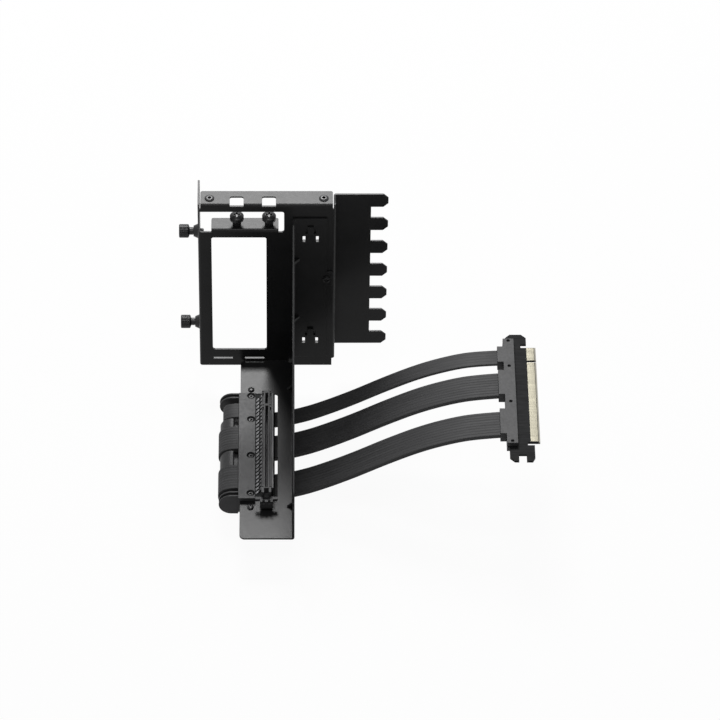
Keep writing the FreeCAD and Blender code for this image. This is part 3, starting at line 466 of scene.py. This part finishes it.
def ribbon_cable(name, node, far, width, thickness, loop_radius, drop, ribs, depth):
    points = smooth_line(ribbon_route(thickness, loop_radius, drop), -far - width / 2)
    section = ribbed_section(width, thickness, ribs, depth)
    vertices, faces = [], []
    for index, point in enumerate(points):
        before, after = points[max(index - 1, 0)], points[min(index + 1, len(points) - 1)]
        along = (after - before).normalized()
        up = Vector((0, 1, 0)).cross(along) * -1
        for across, off in section:
            vertices.append(point + Vector((0, across * MM, 0)) + up * (off * MM))
    size = len(section)
    for index in range(len(points) - 1):
        for corner in range(size):
            ahead = (corner + 1) % size
            a, b = index * size, (index + 1) * size
            faces.append((a + corner, a + ahead, b + ahead, b + corner))
    faces.append(tuple(range(size)))
    faces.append(tuple(range((len(points) - 1) * size, len(points) * size)))
    mesh = bpy.data.meshes.new(name)
    mesh.from_pydata([tuple(vertex) for vertex in vertices], [], faces)
    piece = bpy.data.objects.new(name, mesh)
    bpy.context.scene.collection.objects.link(piece)
    take_up(piece)
    bpy.ops.object.mode_set(mode="EDIT")
    bpy.ops.mesh.select_all(action="SELECT")
    bpy.ops.mesh.normals_make_consistent(inside=False)
    bpy.ops.object.mode_set(mode="OBJECT")
    finish_piece(piece, "ribbon", stands_for=[node], angle=60)
    length = sum((b - a).length for a, b in zip(points, points[1:]))
    return piece, points, length, width


cables = [
    ribbon_cable("ribbon_cable_far", "ribbon_far", 39.6, 12.0, 1.8, 4.95, 0.75, 5, 0.08),
    ribbon_cable("ribbon_cable_middle", "ribbon_middle", 60.4, 19.6, 3.0, 7.1, 3.05, 9, 0.15),
    ribbon_cable("ribbon_cable_near", "ribbon_near", 94.2, 20.0, 3.0, 7.1, 3.05, 9, 0.15),
]


# Edge plug

FINGER_PITCH = 1.0
# First finger from the rear and number of fingers, for the two groups beside the key notch.
FINGER_GROUPS = ((-38.0, 11), (-50.75, 69))
FINGER_HALF_WIDTH, FINGER_THICKNESS, FINGER_EXTRA = 0.43, 0.1, 0.4
PLUG_RIVETS = (-33.6, -56.0, -87.1, -121.4)


def gold_fingers():
    """Single fingers on both faces of the plug's board, a little longer than the solid they stand for."""
    low, high = drawn(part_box("plug_fingers"))
    rows = []
    for first, count in FINGER_GROUPS:
        for level in (high.z - FINGER_THICKNESS, low.z):
            y = (first - FINGER_HALF_WIDTH, first + FINGER_HALF_WIDTH)
            finger = block((low.x, high.x + FINGER_EXTRA), y, (level, level + FINGER_THICKNESS), 0.03)
            rows.append(row_of(finger, count, FINGER_PITCH))
    return finish_piece(join("gold_fingers", rows), "gold", stands_for=["plug_fingers"])


def plug_rivets():
    """Rivets with a dimple in each end, sunk below the clamp's faces."""
    low, high = drawn(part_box("plug_rivets"))
    across, reach = (low.x + high.x) / 2, high.z - low.z
    pin = [(0.3, 0.35), (0.7, 0.0), (0.95, 0.0), (1.05, 0.12), (1.05, reach - 0.12), (0.95, reach),
           (0.7, reach), (0.3, reach - 0.35)]
    made = [turned(at(across, y, low.z), pin, 24) for y in PLUG_RIVETS]
    return finish_piece(join("clamp_rivets", made), "black_metal", stands_for=["plug_rivets"])


plug = [
    softened("plug_card", "plug_board", 0.08),
    softened("clamp_upper", "plug_clamp_upper", 0.12),
    softened("clamp_lower", "plug_clamp_lower", 0.12),
    gold_fingers(),
    plug_rivets(),
]


# Riser slot

LEADS, LEAD_PITCH = 26, 3.24
# First spring from the rear and number of springs, for the two parts of the slit.
SPRING_GROUPS = ((-41.4, 9), (-52.9, 69))
COVER_SCREWS = (-35.378, -56.12, -87.697, -120.57)


def contact_leads():
    """Broad leads that run aslant from the housing's foot down to the board."""
    low, high = drawn(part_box("slot_contacts"))
    steps = ((-0.45, -0.4, 0.0), (-0.9, -1.0, -0.3), (-0.45, -0.5, -0.45), (-2.0, -2.0, -0.15))
    lead = bent_strip(at(high.x, high.y - 1.2, low.z + 1.1), steps, 1.9, 0.3)
    row = join("contact_leads", [row_of(lead, LEADS, LEAD_PITCH)])
    return finish_piece(row, "steel", stands_for=["slot_contacts"])


def slot_springs():
    """Contact springs along both walls of the slit."""
    low, high = drawn(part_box("slot_housing"))
    middle, top = (low.x + high.x) / 2, high.z
    rows = []
    for side in (-1, 1):
        steps = ((-side * 0.12, 0, 1.6), (-side * 0.18, 0, 1.6), (side * 0.2, 0, 1.5))
        for first, count in SPRING_GROUPS:
            start = at(middle + side * 0.86, first, top - 7.2)
            spring = bent_strip(start, steps, 0.5, 0.14, tilt=0)
            rows.append(row_of(spring, count, FINGER_PITCH))
    return finish_piece(join("slot_springs", rows), "steel")


def slot_body():
    """The housing, with a groove along both rails, a pocket in its tail and core holes beside the bars."""
    low, high = drawn(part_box("slot_housing"))
    middle, top = (low.x + high.x) / 2, high.z
    cuts = [block((middle - 1.5, middle + 1.5), (-128.4, -123.9), (top - 4.8, top + 1.0))]
    for side in (-1, 1):
        rail = (middle + side * 2.35 - 0.45, middle + side * 2.35 + 0.45)
        for near, far in ((-49.6, -40.5), (-121.6, -53.2)):
            cuts.append(block(rail, (near, far), (top - 1.6, top + 1.0)))
        for hole in (-39.5, -51.4, -122.6):
            cuts.append(block(rail, (hole - 0.4, hole + 0.4), (top - 2.4, top + 1.0)))
    piece = merged_copy("slot_body", "slot_housing")
    for tool in cuts:
        cut_with(piece, tool)
    round_long_edges(piece, 0.08, 5.0)
    return even_shading(finish_piece(piece, "black_plastic", stands_for=["slot_housing"]))


def cable_cover():
    """A thick plate with its edges rounded, and a sunk hole for each screw."""
    low, high = drawn(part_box("riser_cover"))
    piece = block((low.x, high.x), (low.y, high.y), (low.z, high.z), 0.3)
    left, right = drawn(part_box("cover_screws"))
    across = (left.x + right.x) / 2
    reach = high.z - low.z
    hole = [(0.95, -0.5), (0.95, reach - 1.3), (2.5, reach - 1.3), (2.5, reach - 0.25), (2.75, reach),
            (2.75, reach + 0.5)]
    for y in COVER_SCREWS:
        cut_with(piece, turned(at(across, y, low.z), hole, 40))
    piece.name = piece.data.name = "cable_cover"
    return even_shading(finish_piece(piece, "black_plastic", stands_for=["riser_cover"]))


def latch_lever():
    """The lever, notched on both sides of a thumb knob."""
    low, high = drawn(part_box("slot_latch"))
    middle, front, top = (low.x + high.x) / 2, low.y, high.z
    cuts = []
    for side in (-1, 1):
        notch = (middle + side * 1.75 - 0.75, middle + side * 1.75 + 0.75)
        cuts.append(block(notch, (front - 0.5, front + 1.4), (top - 2.4, top + 0.5)))
    return softened("latch_lever", "slot_latch", 0.08, "slot_latch", cuts=cuts)


slot_body()
softened("slot_side_shield", "slot_shield", 0.2)
cable_cover()
softened("riser_card", "riser_board", 0.08)
softened("card_carrier", "riser_carrier", 0.14)
latch_lever()
contact_leads()
slot_springs()


# Fasteners

RIVET_RADIUS, TRAY_SCREW_RADIUS = 3.05, 2.1
# The crown of a card screw is part of a ball of this radius, made slimmer by this share.
CROWN_RADIUS, CROWN_SHARE = 16, 0.66


def button_rivets():
    """Domed heads with a round socket in the top flange."""
    low, high = drawn(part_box("flange_rivets"))
    depth, reach = (low.y + high.y) / 2, high.z - low.z
    dome = [(1.2, 0.0), (2.2, 0.0), (2.5, 0.25), (2.5, 0.75), (2.05, 0.9), (2.05, reach - 0.9), (2.95, reach - 0.9),
            (RIVET_RADIUS, reach - 0.7), (2.7, reach - 0.3), (2.1, reach - 0.06), (1.5, reach), (1.2, reach),
            (1.05, reach - 0.15)]
    made = []
    for across in (low.x + RIVET_RADIUS, high.x - RIVET_RADIUS):
        made.append(turned(at(across, depth, low.z), dome + dome[:1], 40))
    return finish_piece(join("button_rivets", made), "black_metal", stands_for=["flange_rivets"])


def cover_screws():
    """Small socket screws sunk in the cable cover."""
    low, high = drawn(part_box("cover_screws"))
    across, reach = (low.x + high.x) / 2, high.z - low.z
    head = [(0.3, 0.0), (0.85, 0.0), (0.85, reach - 0.66), (2.1, reach - 0.64), (2.2, reach - 0.5),
            (1.9, reach - 0.2), (1.3, reach - 0.02), (0.95, reach), (0.85, reach - 0.08), (0.8, reach - 0.7),
            (0.3, reach - 0.9)]
    made = [turned(at(across, y, low.z), head) for y in COVER_SCREWS]
    return finish_piece(join("cover_socket_screws", made), "black_metal", stands_for=["cover_screws"])


def tray_screws():
    """Round heads with a cross recess."""
    low, high = drawn(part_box("tray_screws"))
    across, reach = (low.x + high.x) / 2, high.z - low.z
    head = [(0.3, 0.0), (1.05, 0.0), (1.05, reach - 1.1), (2.0, reach - 1.1), (TRAY_SCREW_RADIUS, reach - 0.95),
            (2.05, reach - 0.6), (1.7, reach - 0.2), (1.1, reach - 0.02), (0.3, reach)]
    made = []
    for y in (high.y - TRAY_SCREW_RADIUS, low.y + TRAY_SCREW_RADIUS):
        screw = turned(at(across, y, low.z), head)
        made.append(cut_cross(screw, at(across, y, high.z), 2.5, 0.65, 0.8))
    return finish_piece(join("tray_cross_screws", made), "black_metal", stands_for=["tray_screws"])


def card_screw(side):
    """A card screw with the top of its head crowned."""
    node = "card_thumbscrew_" + side
    low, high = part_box(node)
    crown = Vector(((low.x + high.x) / 2, (low.y + high.y) / 2, high.z - CROWN_RADIUS * MM))
    bpy.ops.mesh.primitive_uv_sphere_add(segments=64, ring_count=64, radius=CROWN_RADIUS * MM, location=crown)
    dome = bpy.context.object
    dome.scale = (CROWN_SHARE, CROWN_SHARE, 1)
    settle(dome)
    piece = cut_with(merged_copy("card_screw_" + side, node), dome, "INTERSECT")
    round_over(piece, 0.05)
    return even_shading(finish_piece(piece, "black_metal", node, [node]))


def folded_sheet(name, node, width, shortest):
    """A sheet whose long cut edges are broken, while its small holes stay sharp."""
    piece = merged_copy(name, node)
    round_long_edges(piece, width, shortest)
    return even_shading(finish_piece(piece, "black_steel", stands_for=[node]))


def ribbon_guide():
    """The guide, whose near flange reaches across to the edge of the riser's board."""
    low, high = drawn(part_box("loop_guide"))
    edge = drawn(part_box("riser_board"))[0].x
    under = drawn(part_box("riser_cover"))[0].z
    middle = (low.z + high.z) / 2
    piece = merged_copy("ribbon_guide", "loop_guide")
    height = (middle - 6.7, min(middle + 6.7, under - 0.1))
    cut_with(piece, block((high.x - 0.6, edge - 0.05), (low.y, low.y + 1.3), height), "UNION")
    round_over(piece, 0.4, 3)
    return even_shading(finish_piece(piece, "black_plastic", stands_for=["loop_guide"]))


for side in ("left", "right"):
    card_screw(side)
for level in ("lower", "upper"):
    softened("case_screw_" + level, "case_thumbscrew_" + level, 0.1, body="case_thumbscrew_" + level)
button_rivets()
cover_screws()
tray_screws()
folded_sheet("card_bracket", "mounting_bracket", 0.1, 1.5)
folded_sheet("arm_sheet", "support_arm", 0.2, 3.0)
ribbon_guide()


# Studio

# How much of the floor's white the eye and reflections see, and the strength of the light from all round.
SEEN_SHARE = 0.95
AMBIENT = 0.2
FLOOR_GAP = 0.006


def seen_directly(tree):
    """1 for what the eye, a reflection or clear material sees, 0 for light that falls on other things."""
    path = add_node(tree, "ShaderNodeLightPath")
    total = path.outputs["Is Camera Ray"]
    for name in ("Is Glossy Ray", "Is Transmission Ray"):
        adding = add_node(tree, "ShaderNodeMath")
        adding.operation = "ADD"
        adding.use_clamp = True
        tree.links.new(total, adding.inputs[0])
        tree.links.new(path.outputs[name], adding.inputs[1])
        total = adding.outputs[0]
    return total


def make_floor():
    level = cad_box[0].z - FLOOR_GAP
    bpy.ops.mesh.primitive_plane_add(size=14, location=(0, 0, level))
    floor = bpy.context.object
    floor.name = "studio_floor"
    settle(floor)
    material = bpy.data.materials.new("pale_floor")
    material.use_nodes = True
    tree = material.node_tree
    tree.nodes.remove(tree.nodes["Principled BSDF"])
    matte = add_node(tree, "ShaderNodeBsdfDiffuse", Color=(0.65, 0.65, 0.65, 1))
    white = add_node(tree, "ShaderNodeEmission", Color=(1, 1, 1, 1), Strength=1.0)
    share = add_node(tree, "ShaderNodeMath")
    share.operation = "MULTIPLY"
    share.inputs[1].default_value = SEEN_SHARE
    mix = add_node(tree, "ShaderNodeMixShader")
    tree.links.new(seen_directly(tree), share.inputs[0])
    tree.links.new(share.outputs[0], mix.inputs["Fac"])
    tree.links.new(matte.outputs[0], mix.inputs[1])
    tree.links.new(white.outputs[0], mix.inputs[2])
    tree.links.new(mix.outputs[0], tree.nodes["Material Output"].inputs["Surface"])
    floor.data.materials.append(material)


def make_world():
    world = bpy.data.worlds.new("studio")
    bpy.context.scene.world = world
    world.use_nodes = True
    tree = world.node_tree
    background = tree.nodes["Background"]
    background.inputs["Color"].default_value = (1, 1, 1, 1)
    strength = add_node(tree, "ShaderNodeMapRange", To_Min=AMBIENT, To_Max=1.0)
    tree.links.new(seen_directly(tree), strength.inputs["Value"])
    tree.links.new(strength.outputs["Result"], background.inputs["Strength"])


def softbox(name, place, aim, size, power):
    """A flat rectangular lamp turned to a point, sizes in metres and power in watts."""
    bpy.ops.object.light_add(type="AREA", location=place)
    lamp = bpy.context.object
    lamp.name = name
    lamp.rotation_euler = (Vector(aim) - Vector(place)).to_track_quat("-Z", "Y").to_euler()
    lamp.data.shape = "RECTANGLE"
    lamp.data.size, lamp.data.size_y = size
    lamp.data.energy = power


def make_camera():
    bpy.ops.object.camera_add(location=at(-7.975, -2195.9, 2233.7), rotation=(math.radians(44.496), 0, 0))
    camera = bpy.context.object
    camera.data.lens = 241.63
    camera.data.sensor_width = 36
    camera.data.shift_x = 0.1087
    camera.data.shift_y = 0.0086
    camera.data.clip_end = 30
    bpy.context.scene.camera = camera


make_floor()
make_world()
softbox("rear_softbox", (-0.12, 1.07, 1.18), (-0.04, -0.05, 0.0), (0.62, 0.58), 30)
softbox("top_softbox", (-0.1, -0.5, 1.55), (0.0, -0.05, 0.0), (0.6, 0.6), 7)
make_camera()
bpy.context.scene.view_settings.view_transform = "Standard"
